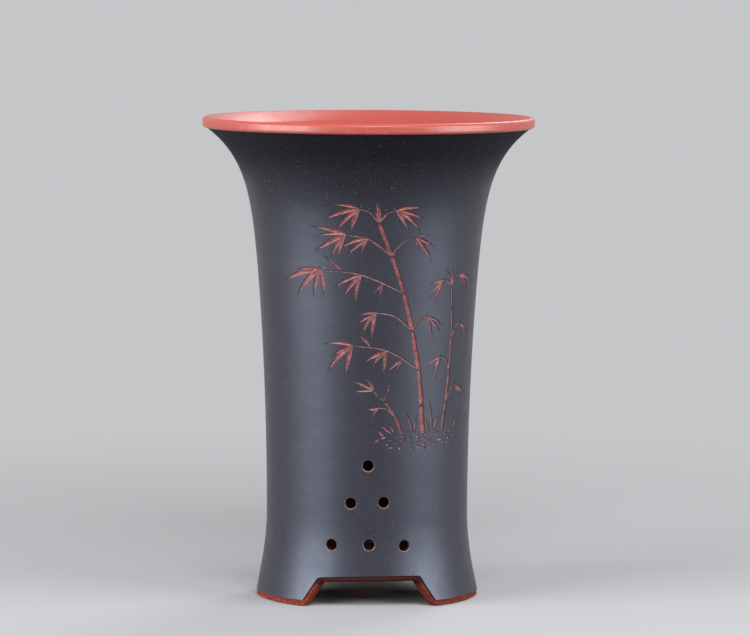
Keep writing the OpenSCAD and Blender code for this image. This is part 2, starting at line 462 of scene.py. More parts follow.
class Stroke:
    """One cut of the knife: a smooth line with a width along it and a section across it."""

    def __init__(self, points, width, shape_shares, section=KNIFE_SHARES):
        self.line = smooth_line(points, STROKE_STEP)
        run = run_of(self.line)
        knots = np.arange(0, run[-1] + WOBBLE_LENGTH, WOBBLE_LENGTH)
        wobble = 1 + np.interp(run, knots, HAND.uniform(-WOBBLE_SHARE, WOBBLE_SHARE, len(knots)))
        shape = np.interp(run / run[-1], np.linspace(0, 1, len(shape_shares)), shape_shares)
        self.half = shape * width / 2 * wobble
        self.deep = np.minimum(CARVE_DEPTH, self.half * 2 * DEPTH_SHARE)
        tangent = np.gradient(self.line, axis=0)
        tangent /= np.linalg.norm(tangent, axis=1)[:, None]
        self.side = np.stack([-tangent[:, 1], tangent[:, 0]], axis=1)
        self.section = section

    def rails(self):
        """Lines that the mesh follows: both edges and the folds between them."""
        for across, _ in self.section:
            yield self.line + self.side * (self.half * across)[:, None]

    def depth_at(self, points):
        """How deep the stroke cuts at each point."""
        starts = self.line[:-1]
        along = np.diff(self.line, axis=0)
        size = np.sum(along ** 2, axis=1)
        share = np.clip(np.einsum("pkc,kc->pk", points[:, None] - starts, along) / size, 0, 1)
        gap = points[:, None] - (starts + along * share[..., None])
        near = np.argmin(np.sum(gap ** 2, axis=2), axis=1)
        rows = np.arange(len(points))
        share = share[rows, near]
        gap = gap[rows, near]

        def there(values):
            """A value along the stroke at the place nearest to each point."""
            late = share if values.ndim == 1 else share[:, None]
            return values[near] * (1 - late) + values[near + 1] * late

        signed = np.sum(gap * there(self.side), axis=1)
        across, depth_shares = zip(*self.section)
        depth = np.interp(signed / np.maximum(there(self.half), TINY), across, depth_shares, left=0, right=0)
        past_end = np.linalg.norm(gap, axis=1) > np.abs(signed) + HAIR
        return np.where(past_end, 0, depth * there(self.deep))


def ahead(heading):
    """Direction of a heading in degrees, where 0 points right and 90 up."""
    return np.array([math.cos(math.radians(heading)), math.sin(math.radians(heading))])


def leaf(start, heading, length):
    """Bamboo leaf: a pointed cut that bows upwards and droops at its tip."""
    length *= HAND.uniform(*LEAF_LENGTH_SHARES)
    along = ahead(heading + HAND.uniform(*LEAF_HEADINGS))
    up = np.array([-along[1], along[0]])
    up *= math.copysign(HAND.uniform(*LEAF_BOW_SHARES), up[1])
    base = start - along * LEAF_START
    points = [base + (along * t + up * t * (1 - t) * 4) * length for t in THIRD_SHARES]
    return Stroke(points, length * HAND.uniform(*LEAF_WIDTH_SHARES), LEAF_SHARES)


def fan(start, heading, count, length):
    """Leaves that spread from one place, the middle ones longest."""
    for i in range(count):
        turn = i - (count - 1) / 2
        yield leaf(start, heading + turn * FAN_STEP, length * (1 - FAN_SHORTER_SHARE * abs(turn)))


def spray(start, reach, rise, heading, count, length):
    """Twig that bows over to one side, with leaves at its end and more along it if it is long."""
    middle = start + (reach / 2, rise * TWIG_LIFT_SHARE)
    end = start + (reach, rise)
    if reach:
        yield Stroke([start, middle, end], TWIG_WIDTH, TWIG_SHARES)
    yield from fan(end, heading, count, length)
    if abs(reach) > LONG_TWIG:
        turn, leaves, share = HALF_WAY_FAN
        yield from fan(middle, heading + turn, leaves, length * share)
    if abs(reach) > LONGER_TWIG:
        above = (middle + end) / 2 + (0, LONE_LEAF_LIFT)
        yield leaf(above, 90 - math.copysign(LONE_LEAF_TURN, reach), length * LONE_LEAF_SHARE)
        turn, leaves, share = LOWER_FAN
        yield from fan((start + middle) / 2, heading + turn, leaves, length * share)


def stem(line, marks, width):
    """Bamboo stem: a gouged length from joint to joint, and hooked cuts at the joints if it is thick."""
    for mark, next_mark in zip(marks[:-1], marks[1:]):
        taper = 1 - STEM_TAPER_SHARE * mark / marks[-1]
        low = mark + STEM_GAP / 2
        high = next_mark - STEM_GAP / 2
        length = [point_at(line, low + (high - low) * t) for t in THIRD_SHARES]
        yield Stroke(length, width * taper, STEM_SHARES, GOUGE_SHARES)
    if width > HOOKED_STEM:
        for mark in marks[1:-1]:
            joint = point_at(line, mark)
            along = point_at(line, mark + HOOK_FEEL) - point_at(line, mark - HOOK_FEEL)
            along /= np.linalg.norm(along)
            aside = np.array([-along[1], along[0]]) * width * HOOK_REACH_SHARE
            drop = along * HOOK_DROP
            hook = [joint - aside - drop, joint + along * HOOK_RISE, joint + aside - drop]
            yield Stroke(hook, HOOK_WIDTH, LEAF_SHARES)


def grass():
    """Blades of grass at the foot of the stems."""
    for x, z, heading, length in GRASS:
        start = np.array([x, z])
        end = start + ahead(heading) * length
        middle = start + ahead(heading) * length / 2 + (0, length * GRASS_BOW_SHARE)
        yield Stroke([start, middle, end], GRASS_WIDTH, BLADE_SHARES)


def earth():
    """Nicks under the grass that keep clear of each other."""
    nicks = []
    for across, down in HAND.uniform(-1, 1, (NICK_TRIES, 2)):
        start = np.array(NICK_MIDDLE) + (across, down) * np.array(NICK_SPREAD)
        clear = all(np.linalg.norm((start - nick) * NICK_GAP_SHARES) > NICK_GAP for nick in nicks)
        if across ** 2 + down ** 2 < 1 and clear:
            nicks.append(start)
            end = start + ahead(HAND.uniform(*NICK_HEADINGS)) * HAND.uniform(*NICK_LENGTHS)
            hump = (start + end) / 2 + (0, NICK_HUMP)
            yield Stroke([start, hump, end], HAND.uniform(*NICK_WIDTHS), LEAF_SHARES)


def bamboo():
    """The carved design: three stems with sprays of leaves, and grass and earth below them."""
    for points, width, joint_shares, sprays in STEMS:
        line = smooth_line(points, STEM_STEP)
        marks = np.array([0, *joint_shares, 1]) * run_of(line)[-1]
        yield from stem(line, marks, width)
        for joint, *rest in sprays:
            yield from spray(point_at(line, marks[joint + 1]), *rest)
    yield from grass()
    yield from earth()


# Meshes

def new_object(name, data):
    """A new object in the scene."""
    made = bpy.data.objects.new(name, data)
    bpy.context.scene.collection.objects.link(made)
    return made


class MeshParts:
    """Vertices, normals, cut depths and faces of one piece while it is put together."""

    def __init__(self):
        self.points = []
        self.normals = []
        self.cuts = []
        self.faces = []
        self.flat = []
        self.count = 0

    def add(self, points, normals, cuts):
        """Adds vertices and gives back their numbers. Normals that are None come from the faces."""
        first = self.count
        self.points.append(points)
        self.normals.append(np.full(points.shape, np.nan) if normals is None else normals)
        self.cuts.append(np.broadcast_to(cuts, len(points)))
        self.count += len(points)
        return np.arange(first, self.count)

    def join(self, rings, closed):
        """Faces between rings of vertex numbers that have the same length."""
        for low, high in zip(rings[:-1], rings[1:]):
            last = len(low) if closed else len(low) - 1
            for i in range(last):
                k = (i + 1) % len(low)
                self.faces.append((low[i], low[k], high[k], high[i]))
                self.flat.append(False)

    def cleaned(self):
        """Points, normals, cuts, faces and which faces are flat, without unused points."""
        faces = [tuple(dict.fromkeys(int(v) for v in face)) for face in self.faces]
        used = [i for i, face in enumerate(faces) if len(face) > 2]
        needed = np.unique([v for i in used for v in faces[i]])
        renumbered = np.full(self.count, -1)
        renumbered[needed] = np.arange(len(needed))
        kept = [tuple(renumbered[list(faces[i])].tolist()) for i in used]
        points, normals = (np.vstack(rows)[needed] for rows in (self.points, self.normals))
        return points, normals, np.concatenate(self.cuts)[needed], kept, np.array(self.flat)[used]

    def make(self, name, node, slot, clay):
        """Turns the parts into a piece that stands for a CAD node."""
        points, normals, cuts, faces, flat = self.cleaned()
        mesh = bpy.data.meshes.new(name)
        mesh.from_pydata(points.tolist(), [], faces, shade_flat=False)
        cut = mesh.attributes.new("cut", "FLOAT", "POINT")
        cut.data.foreach_set("value", cuts.astype(np.float32))
        mesh.update()
        own = np.zeros(len(points) * 3, np.float32)
        mesh.vertex_normals.foreach_get("vector", own)
        unset = np.isnan(normals[:, 0])
        normals[unset] = own.reshape(-1, 3)[unset]
        corners = []
        for polygon in mesh.polygons:
            if flat[polygon.index]:
                corners += [tuple(polygon.normal)] * polygon.loop_total
            else:
                corners += [tuple(normals[v]) for v in polygon.vertices]
        mesh.normals_split_custom_set(corners)
        mesh.materials.append(clay)
        piece = new_object(name, mesh)
        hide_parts(node)
        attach(piece, "root")
        return piece


def numbered(lines):
    """Numbers of each line's points, when the points of all lines are counted through."""
    ends = np.cumsum([len(line) for line in lines])
    return [np.arange(end - len(line), end) for line, end in zip(lines, ends)]


def z_rows(low, high):
    """Heights of the background grid, closer together in the flare."""
    rows = [low]
    while rows[-1] < high:
        z = rows[-1]
        share = min(max((z - FLARE_START_Z) / (NECK_Z - FLARE_START_Z), 0), 1)
        rows.append(z + GRID_STEP + (GRID_STEP_HIGH - GRID_STEP) * share)
    return rows[1:-1]


def grid_between(low_z, high_z, fixed):
    """Background grid between two heights, clear of the fixed points, with every other row moved."""
    tree = kdtree.KDTree(len(fixed))
    for i, (u, z) in enumerate(fixed):
        tree.insert((u, z, 0), i)
    tree.balance()
    count = round(2 * HALF_ROUND / GRID_STEP)
    grid = []
    for row, z in enumerate(z_rows(low_z, high_z)):
        for i in range(count):
            u = -HALF_ROUND + (i + 0.25 + 0.5 * (row % 2)) * 2 * HALF_ROUND / count
            if tree.find((u, z, 0))[2] > GRID_CLEARANCE:
                grid.append((u, z))
    return grid


def inside(points, ring):
    """Which points are inside a closed ring."""
    x, y = points[:, :1], points[:, 1:]
    a, b = ring.T, np.roll(ring, -1, axis=0).T
    with np.errstate(divide="ignore", invalid="ignore"):
        at = a[0] + (y - a[1]) * (b[0] - a[0]) / (b[1] - a[1])
    return np.sum(((a[1] > y) != (b[1] > y)) & (x < at), axis=1) % 2 == 1


def in_layer(centres, lower, top_z, rings):
    """Which triangles, by their middles, lie between the two edges and outside the rings."""
    kept = (
        (centres[:, 1] > np.interp(centres[:, 0], lower[:, 0], lower[:, 1]) + TINY)
        & (centres[:, 1] < top_z - TINY)
        & (np.abs(centres[:, 0]) < HALF_ROUND - TINY)
    )
    for ring in rings:
        kept &= ~inside(centres, ring)
    return kept


def cut_depths(points, strokes):
    """How deep the strokes cut at each point of the unrolled plane."""
    cuts = np.zeros(len(points))
    for stroke in strokes:
        low = stroke.line.min(axis=0) - STROKE_REACH
        high = stroke.line.max(axis=0) + STROKE_REACH
        near = np.nonzero(((points > low) & (points < high)).all(axis=1))[0]
        cuts[near] = np.maximum(cuts[near], stroke.depth_at(points[near]))
    cuts[cuts < HAIR] = 0
    return cuts


def surface(parts, lower, upper, rings, depth, outward, strokes):
    """Adds one face of a layer, all round. Gives back the vertex numbers of both edges and each ring."""
    heights = filled([(0, lower[0, 1]), (0, upper[0, 1])], GRID_STEP)[1:-1, 1]
    left = np.column_stack([np.full(len(heights), -HALF_ROUND), heights])
    rails = [rail for stroke in strokes for rail in stroke.rails()]
    lines = [lower, upper, left, left * (-1, 1), *rings, *rails]
    low_ids, up_ids, left_ids, right_ids, *other_ids = numbered(lines)
    seams = [np.r_[low_ids[end], ids, up_ids[end]] for end, ids in ((0, left_ids), (-1, right_ids))]
    ring_ids = other_ids[:len(rings)]
    rail_ids = other_ids[len(rings):]
    chains = [low_ids, up_ids, *seams, *(np.r_[ids, ids[0]] for ids in ring_ids), *rail_ids]
    edges = [(int(a), int(b)) for chain in chains for a, b in zip(chain[:-1], chain[1:])]
    fixed = np.vstack(lines)
    flat = np.vstack([fixed, grid_between(lower[:, 1].min(), upper[0, 1], fixed)])
    made, _, triangles, sources, _, _ = delaunay_2d_cdt([Vector(p) for p in flat], edges, [], 0, SAME_PLACE)
    made = np.array([tuple(p) for p in made])
    triangles = np.array(triangles)
    triangles = triangles[in_layer(made[triangles].mean(axis=1), lower, upper[0, 1], rings)]
    place_of = {source: i for i, inputs in enumerate(sources) for source in inputs}
    cuts = cut_depths(made, strokes)
    u, z = made[:, 0], made[:, 1]
    numbers = parts.add(in_space(u, z, depth + cuts), surface_normal(u, z, depth, outward), cuts)
    # The right-hand end of the unrolled plane is the left-hand end again
    final = numbers.copy()
    for left_id, right_id in zip(*seams):
        final[place_of[right_id]] = numbers[place_of[left_id]]
    for a, b, c in triangles:
        parts.faces.append(tuple(final[i] for i in ((a, b, c) if outward else (a, c, b))))
        parts.flat.append(bool(cuts[[a, b, c]].max() > 0))
    named = [np.array([final[place_of[i]] for i in ids]) for ids in (low_ids, up_ids, *ring_ids)]
    return named[0], named[1], named[2:]


def edge_steps(outer, inner, outer_round, inner_round):
    """Places of the rings across an edge: how far back into the clay, and how deep."""
    arc = [(1 - math.sin(t), 1 - math.cos(t)) for t in np.linspace(0, math.pi / 2, EDGE_ROUND_STEPS + 1)]
    out = [(0, outer)]
    back = [(0, inner)]
    if outer_round:
        out = [(outer_round * grow, outer + outer_round * sink) for grow, sink in arc]
    if inner_round:
        back = [(inner_round * grow, inner - inner_round * sink) for grow, sink in arc[::-1]]
    return out + back


def layer(names, clay, depths, edge, top_z, rounds, vents=(), vent_rounds=(0, 0), strokes=()):
    """One layer of the wall as a closed piece, between two depths."""
    parts = MeshParts()
    upper = flat_edge(top_z)
    steps = edge_steps(*depths, *rounds)
    vent_steps = edge_steps(*depths, *vent_rounds)
    ends = []
    for end, outward, cuts in ((0, True, strokes), (-1, False, ())):
        grow, depth = steps[end]
        rings = [vent_ring(vent, depth, VENT_R + vent_steps[end][0]) for vent in vents]
        ends.append(surface(parts, edge(depth, grow), upper, rings, depth, outward, cuts))
    (low_out, up_out, rings_out), (low_in, up_in, rings_in) = ends
    between = []
    for grow, depth in steps[1:-1]:
        line = edge(depth, grow)
        numbers = parts.add(in_space(line[:, 0], line[:, 1], depth), None, 0)
        numbers[-1] = numbers[0]
        between.append(numbers)
    parts.join([low_in, *between[::-1], low_out], closed=False)
    parts.join([up_out, up_in], closed=False)
    for vent, ring_out, ring_in in zip(vents, rings_out, rings_in):
        between = []
        for grow, depth in vent_steps[1:-1]:
            ring = vent_ring(vent, depth, VENT_R + grow)
            cut = max(depth - depths[0], VENT_BARE)
            between.append(parts.add(in_space(ring[:, 0], ring[:, 1], depth), None, cut))
        parts.join([ring_out, *between, ring_in], closed=True)
    parts.make(*names, clay)


def turned(names, clay, profile, steps, sharp):
    """A closed outline turned round the pot's axis."""
    parts = MeshParts()
    turn = np.linspace(0, 2 * math.pi, steps, endpoint=False)
    rings = []
    for r, z in profile:
        ring = np.column_stack([r * np.sin(turn), -r * np.cos(turn), np.full(steps, z)])
        rings.append(parts.add(ring * MM, None, 0))
    parts.join([*rings, rings[0]], closed=True)
    mesh = parts.make(*names, clay).data
    mesh.attributes.remove(mesh.attributes["custom_normal"])
    mesh.set_sharp_from_angle(angle=math.radians(sharp))


# Nodes of the materials

DOT_CORE_SHARE = 0.5
SCUFF_CORE_SHARE = 0.3


def material(name):
    """A new material, its node tree and its shader."""
    made = bpy.data.materials.new(name)
    made.use_nodes = True
    tree = made.node_tree
    return made, tree, tree.nodes["Principled BSDF"]


def set_inputs(tree, node, inputs):
    """Sets inputs of a node to numbers or colours, or links them to outputs of other nodes."""
    for name, value in inputs.items():
        socket = node.inputs[name]
        if isinstance(value, bpy.types.NodeSocket):
            tree.links.new(value, socket)
        elif socket.type == "RGBA":
            socket.default_value = (*value, 1)
        else:
            socket.default_value = value


def new_node(tree, kind, inputs=(), **settings):
    """A new node with its settings and inputs."""
    made = tree.nodes.new(kind)
    for name, setting in settings.items():
        setattr(made, name, setting)
    set_inputs(tree, made, dict(inputs))
    return made


def place(tree):
    """Position on the pot, in metres."""
    return new_node(tree, "ShaderNodeTexCoord").outputs["Object"]


def part_of(tree, vector, axis):
    """One of the three numbers of a vector."""
    return new_node(tree, "ShaderNodeSeparateXYZ", {0: vector}).outputs[axis]


def size_of(tree, vector):
    """Length of a vector."""
    return new_node(tree, "ShaderNodeVectorMath", {0: vector}, operation="LENGTH").outputs["Value"]


def facing_up(tree):
    """How much a face looks up: 1 if level, 0 if upright, -1 if it looks down."""
    return part_of(tree, new_node(tree, "ShaderNodeNewGeometry").outputs["Normal"], "Z")


def cut_depth(tree):
    """How deep into the layer a place on its surface is, in millimetres."""
    return new_node(tree, "ShaderNodeAttribute", attribute_name="cut").outputs["Fac"]


def maths(tree, kind, a, b):
    """Two values put together by a kind of sum."""
    return new_node(tree, "ShaderNodeMath", {0: a, 1: b}, operation=kind).outputs["Value"]


def ranged(tree, value, low, high, out_low=0.0, out_high=1.0):
    """A value mapped smoothly from one range onto another."""
    inputs = {"Value": value, "From Min": low, "From Max": high, "To Min": out_low, "To Max": out_high}
    return new_node(tree, "ShaderNodeMapRange", inputs, interpolation_type="SMOOTHSTEP").outputs["Result"]


def by_place(tree, axis, low, high, out_low, out_high):
    """A value that changes smoothly between two places along an axis."""
    return ranged(tree, part_of(tree, place(tree), axis), low * MM, high * MM, out_low, out_high)


def stretched(tree, shares):
    """Position with each axis made shorter or longer, for marks that run one way."""
    return new_node(tree, "ShaderNodeMapping", {"Scale": shares, "Vector": place(tree)}).outputs["Vector"]


def noise(tree, size, detail=3.0, vector=None):
    """Cloudy pattern from 0 to 1 with features of about a size in millimetres."""
    inputs = {"Scale": 1 / (size * MM), "Detail": detail, "Vector": vector or place(tree)}
    return new_node(tree, "ShaderNodeTexNoise", inputs).outputs["Fac"]


def dots(tree, spacing, radius, kept_share):
    """Round dots from 0 to 1, in only a share of the cells that are a spacing apart."""
    inputs = {"Scale": 1 / (spacing * MM), "Vector": place(tree)}
    cells = new_node(tree, "ShaderNodeTexVoronoi", inputs).outputs
    near = ranged(tree, cells["Distance"], radius / spacing, radius / spacing * DOT_CORE_SHARE)
    pick = new_node(tree, "ShaderNodeSeparateColor", {"Color": cells["Color"]}).outputs["Red"]
    return maths(tree, "MULTIPLY", near, maths(tree, "LESS_THAN", pick, kept_share))


def scuff(tree, x, z, heading, length, width):
    """A soft mark from 0 to 1 on the front of the pot, at a distance across and a height."""
    inputs = {
        "Vector": place(tree),
        "Location": Vector((x, -body_r(z), z)) * MM,
        "Rotation": (0, -math.radians(heading), 0),
        "Scale": Vector((length / 2, length, width / 2)) * MM,
    }
    mark = new_node(tree, "ShaderNodeMapping", inputs, vector_type="TEXTURE").outputs["Vector"]
    return ranged(tree, size_of(tree, mark), 1, SCUFF_CORE_SHARE)


def blended(tree, share, a, b):
    """Colour a turning into colour b."""
    return new_node(tree, "ShaderNodeMix", {"Factor": share, 6: a, 7: b}, data_type="RGBA").outputs[2]


def coated(tree, colour, coats):
    """A colour with others over it, each by the share that it covers."""
    for share, coat in coats:
        colour = blended(tree, share, colour, coat)
    return colour


def roughs(tree, size, height, detail=3.0, vector=None):
    """Cloudy pattern of a size, with the height of the bumps that it makes."""
    return noise(tree, size, detail, vector), height


def dented(tree, layers):
    """Normal of a surface with bumps from patterns, each with its height in millimetres."""
    normal = {}
    for pattern, height in layers:
        inputs = {"Strength": 1.0, "Distance": height * MM, "Height": pattern, **normal}
        normal = {"Normal": new_node(tree, "ShaderNodeBump", inputs).outputs["Normal"]}
    return normal["Normal"]


# Clays

# Depth of a cut, in millimetres, at which its chipped rim starts, and from which to which the clay
# turns reddish and then wholly red
RIM_FROM = 0.03
RED_FROM = 0.25
RED_FULL = 0.40
PURE_RED = 0.62

SLATE = (0.0175, 0.0145, 0.0195)
SLATE_DEEP = (0.0130, 0.0105, 0.0140)
SLATE_PALE = (0.032, 0.029, 0.039)
# Painted shade for the flare under the lip, and also the colour of the scuffs
SLATE_PAINTED_SHADE_AND_SCUFF = (0.004, 0.0035, 0.0045)
SHEEN_TINT = (0.68, 0.78, 1.0)
GOLD_FLECK = (0.34, 0.28, 0.2)
PALE_SPECK = (0.42, 0.34, 0.30)
CHIPPED = (0.030, 0.018, 0.021)
SCRATCH = (0.22, 0.115, 0.12)
INLAY_RED = (0.34, 0.062, 0.050)
# Darker patches of the red in the cuts, and painted shade on cut walls that face down
INLAY_DEEP_AND_PAINTED_SHADE = (0.12, 0.018, 0.018)
INLAY_PALE = (0.48, 0.22, 0.20)
# Painted highlight on cut walls that face up
CUT_PAINTED_HIGHLIGHT = (0.48, 0.34, 0.35)
# Painted shade for the red clay low inside and in the tunnels of the vents
RED_PAINTED_SHADE = (0.014, 0.004, 0.003)
CLAY_RED = (0.44, 0.080, 0.060)
CLAY_DEEP = (0.36, 0.058, 0.042)
CLAY_PALE = (0.60, 0.24, 0.21)
# Painted light for red clay faces that look up
CLAY_PAINTED_TOP_LIGHT = (0.60, 0.082, 0.058)
RAW_RED = (0.25, 0.046, 0.026)
RAW_DEEP = (0.10, 0.018, 0.012)
RAW_PALE = (0.42, 0.13, 0.08)
# Painted shade for the roofs of the cut-outs
RAW_PAINTED_SHADE = (0.045, 0.009, 0.008)

# Patterns: size of clouds and grain, and spacing, radius and kept share of dots
SLATE_CLOUDS = 22.0
SLATE_GRAIN = 0.9
PIT_DOTS = (4.0, 0.45, 0.35)
FLECK_DOTS = (3.4, 0.34, 0.16)
LIP_DOTS = (3.1, 0.27, 0.2)
CLAY_CLOUDS = 12.0
CLAY_MOTTLES = 2.2
CLAY_DOTS = (2.6, 0.32, 0.3)
CRUMBS = 0.9
CHIPS = 1.3
PATCHES = 3.6
RAW_GRAIN = 1.3

# Bumps: size of the pattern and height, and how patterns are stretched
SLATE_ROUGHS = (0.8, 0.03)
SLATE_WAVES = (30.0, 0.2)
WAVE_SHARES = (1, 1, 2)
PIT_DEPTH = 0.06
SCUFF_DEPTH = 0.12
CUT_GRAIN = 1.0
CUT_GRAIN_HEIGHT = 0.3
CLAY_ROUGHS = (0.9, 0.025)
WIPED_ROUGHS = (5.0, 0.2)
WIPED_SHARES = (0.15, 0.15, 1)
RAW_GRAIN_HEIGHT = 0.35
RAW_WAVES = (4.0, 0.5)

# Gloss: size of its clouds, and roughness in them
SLATE_POLISH = 9.0
SLATE_ROUGHNESS = (0.39, 0.45)
SLATE_IOR = 1.655
CLAY_POLISH = 6.0
WALL_ROUGHNESS = (0.42, 0.52)
LIP_ROUGHNESS = (0.31, 0.41)
RAW_ROUGHNESS = 0.85

# Heights between which the flare gets painted shade towards the lip, turns dull, and turns less glossy
FLARE_PAINTED_SHADE_Z = (180.0, 245.0)
FLARE_DULL_Z = (222.0, 246.0)
FLARE_GLOSS_Z = (199.0, 245.0)
# Heights between which the painted shade deep inside the pot fades out upwards, and the roofs of the cut-outs
# turn to painted shade
INSIDE_PAINTED_SHADE_Z = (70.0, 190.0)
ROOF_PAINTED_SHADE_Z = (10.0, 14.0)
# The ring turns darker between these places, towards its right
DARKER_RIGHT_X = (0, 42.0)
# Dark scuffs on the front: place across and height, heading in degrees, length and width
SCUFFS = [(1.7, 39.7, 27, 7.5, 2.0), (-36.5, 35.6, 10, 2.6, 1.8), (4.5, 37.2, 65, 3.0, 1.5)]


def slate(tree, pits, scuffs):
    """Colour of the dark skin: cloudy, grainy, pitted and flecked, with painted shade and specks under the
    lip.
    """
    # Painted shade: the flare is painted darker towards the lip, where the lip shades it
    painted_shade_under_lip = by_place(tree, "Z", *FLARE_PAINTED_SHADE_Z, 0, 0.85)
    specks = maths(tree, "MULTIPLY", dots(tree, *LIP_DOTS), ranged(tree, painted_shade_under_lip, 0, 0.4, 0, 0.8))
    return coated(tree, blended(tree, noise(tree, SLATE_CLOUDS), SLATE_DEEP, SLATE), [
        (painted_shade_under_lip, SLATE_PAINTED_SHADE_AND_SCUFF),
        (ranged(tree, noise(tree, SLATE_GRAIN), 0.45, 0.8), SLATE_PALE),
        (maths(tree, "MULTIPLY", pits, 0.6), SLATE_DEEP),
        (maths(tree, "MULTIPLY", dots(tree, *FLECK_DOTS), 0.4), GOLD_FLECK),
        (specks, PALE_SPECK),
        (scuffs, SLATE_PAINTED_SHADE_AND_SCUFF),
    ])


def inlay(tree, ragged):
    """Colour of the red clay in the cuts: scratched at the edges, with painted shade on walls that face down
    and painted highlight on walls that face up.
    """
    chips = ranged(tree, noise(tree, CHIPS, 4.0), 0.42, 0.66)
    patches = ranged(tree, noise(tree, PATCHES, 4.0), 0.4, 0.62)
    clay = coated(tree, INLAY_RED, [(chips, INLAY_PALE), (maths(tree, "MULTIPLY", patches, 0.6), INLAY_DEEP_AND_PAINTED_SHADE)])
    return coated(tree, SCRATCH, [
        (ranged(tree, ragged, RED_FULL, PURE_RED), clay),
        # Painted shade on cut walls that face down, painted highlight on cut walls that face up
        (ranged(tree, facing_up(tree), -0.5, -0.1, 0.75, 0), INLAY_DEEP_AND_PAINTED_SHADE),
        (ranged(tree, facing_up(tree), 0.15, 0.6, 0, 0.6), CUT_PAINTED_HIGHLIGHT),
    ])


def dark_clay():
    """Burnished slate clay, with red clay in the cuts."""
    made, tree, shader = material("dark_clay")
    pits = dots(tree, *PIT_DOTS)
    scuffs = 0.0
    for mark in SCUFFS:
        scuffs = maths(tree, "MAXIMUM", scuffs, scuff(tree, *mark))
    crumbs = ranged(tree, noise(tree, CRUMBS), 0.3, 0.7, -0.14, 0.10)
    crumbs = maths(tree, "MULTIPLY", crumbs, ranged(tree, cut_depth(tree), 0, RIM_FROM * 3))
    ragged = maths(tree, "ADD", cut_depth(tree), crumbs)
    chipped = ranged(tree, ragged, RIM_FROM, RED_FROM)
    red = ranged(tree, ragged, RED_FROM, RED_FULL)
    polish = ranged(tree, noise(tree, SLATE_POLISH), 0.3, 0.7, *SLATE_ROUGHNESS)
    polish = maths(tree, "ADD", polish, by_place(tree, "Z", *FLARE_DULL_Z, 0, 0.4))
    coats = [(chipped, CHIPPED), (red, inlay(tree, ragged))]
    set_inputs(tree, shader, {
        "Base Color": coated(tree, slate(tree, pits, scuffs), coats),
        "Roughness": maths(tree, "ADD", polish, maths(tree, "MULTIPLY", chipped, 0.4)),
        "Specular IOR Level": by_place(tree, "Z", *FLARE_GLOSS_Z, 0.5, 0.15),
        "Specular Tint": SHEEN_TINT,
        "IOR": SLATE_IOR,
        "Normal": dented(tree, [
            roughs(tree, *SLATE_ROUGHS),
            roughs(tree, *SLATE_WAVES, 1.0, stretched(tree, WAVE_SHARES)),
            (maths(tree, "SUBTRACT", 0.0, pits), PIT_DEPTH),
            (maths(tree, "SUBTRACT", 0.0, scuffs), SCUFF_DEPTH),
            (maths(tree, "MULTIPLY", red, noise(tree, CUT_GRAIN)), CUT_GRAIN_HEIGHT),
        ]),
    })
    return made


def red_clay(name, roughness):
    """Smooth red clay of the lip and the inside, painted brighter where it faces up, with painted shade low
    inside and in the tunnels of the vents.
    """
    made, tree, shader = material(name)
    clouds = blended(tree, noise(tree, CLAY_CLOUDS), CLAY_DEEP, CLAY_RED)
    mottles = ranged(tree, noise(tree, CLAY_MOTTLES, 4.0), 0.45, 0.85, 0, 0.5)
    polish = ranged(tree, noise(tree, CLAY_POLISH), 0.3, 0.7, *roughness)
    set_inputs(tree, shader, {
        "Base Color": coated(tree, CLAY_RED, [
            (mottles, CLAY_PALE),
            (0.3, clouds),
            (maths(tree, "MULTIPLY", dots(tree, *CLAY_DOTS), 0.5), CLAY_PALE),
            # Painted light: faces that look up are painted brighter and redder, as if lit from above
            (ranged(tree, facing_up(tree), 0.25, 0.5, 0, 0.75), CLAY_PAINTED_TOP_LIGHT),
            # Painted shade: the inside is painted dark low down, where little light reaches
            (by_place(tree, "Z", *INSIDE_PAINTED_SHADE_Z, 0.8, 0), RED_PAINTED_SHADE),
            # Painted shade in the tunnels of the vents
            (ranged(tree, cut_depth(tree), RED_FROM, RED_FULL), RED_PAINTED_SHADE),
        ]),
        "Roughness": maths(tree, "ADD", polish, ranged(tree, cut_depth(tree), 0, RIM_FROM, 0, 0.5)),
        "Specular IOR Level": 0.6,
        "Normal": dented(tree, [
            roughs(tree, *CLAY_ROUGHS, 4.0),
            roughs(tree, *WIPED_ROUGHS, vector=stretched(tree, WIPED_SHARES)),
        ]),
    })
    return made


def raw_clay():
    """Rough trimmed clay of the feet, with painted shade on the roofs of the cut-outs."""
    made, tree, shader = material("raw_clay")
    grain = noise(tree, RAW_GRAIN, 4.0)
    set_inputs(tree, shader, {
        "Base Color": coated(tree, RAW_DEEP, [
            (ranged(tree, grain, 0.3, 0.6), RAW_RED),
            (ranged(tree, grain, 0.58, 0.75), RAW_PALE),
            (by_place(tree, "X", *DARKER_RIGHT_X, 0, 0.5), RAW_DEEP),
            # Painted shade: the roofs of the cut-outs, which face down, are painted dark
            (by_place(tree, "Z", *ROOF_PAINTED_SHADE_Z, 0, 0.9), RAW_PAINTED_SHADE),
        ]),
        "Roughness": RAW_ROUGHNESS,
        "Specular IOR Level": 0.15,
        "Normal": dented(tree, [(grain, RAW_GRAIN_HEIGHT), roughs(tree, *RAW_WAVES, 2.0)]),
    })
    return made


# Pieces

def make_skin(clay):
    """Thin dark skin, with the vents and the carving."""
    layer(("clay_skin", "outer_skin", "dark_clay"), clay, (0, SKIN_T),
          lambda depth, grow: trimmed(foot_contour(depth, 0, SKIN_LOW, SKIN_TOE_ROUND, grow)),
          NECK_Z, (SKIN_ROUND, 0), VENTS, (VENT_BEVEL, 0), list(bamboo()))


def make_wall(clay):
    """Red tube inside the skin, with the vents."""
    layer(("clay_wall", "inner_wall", "red_clay"), clay, (SKIN_T, WALL_T),
          lambda depth, grow: flat_edge(FLOOR_Z),
          NECK_Z, (0, 0), VENTS, (0, VENT_BACK_ROUND))


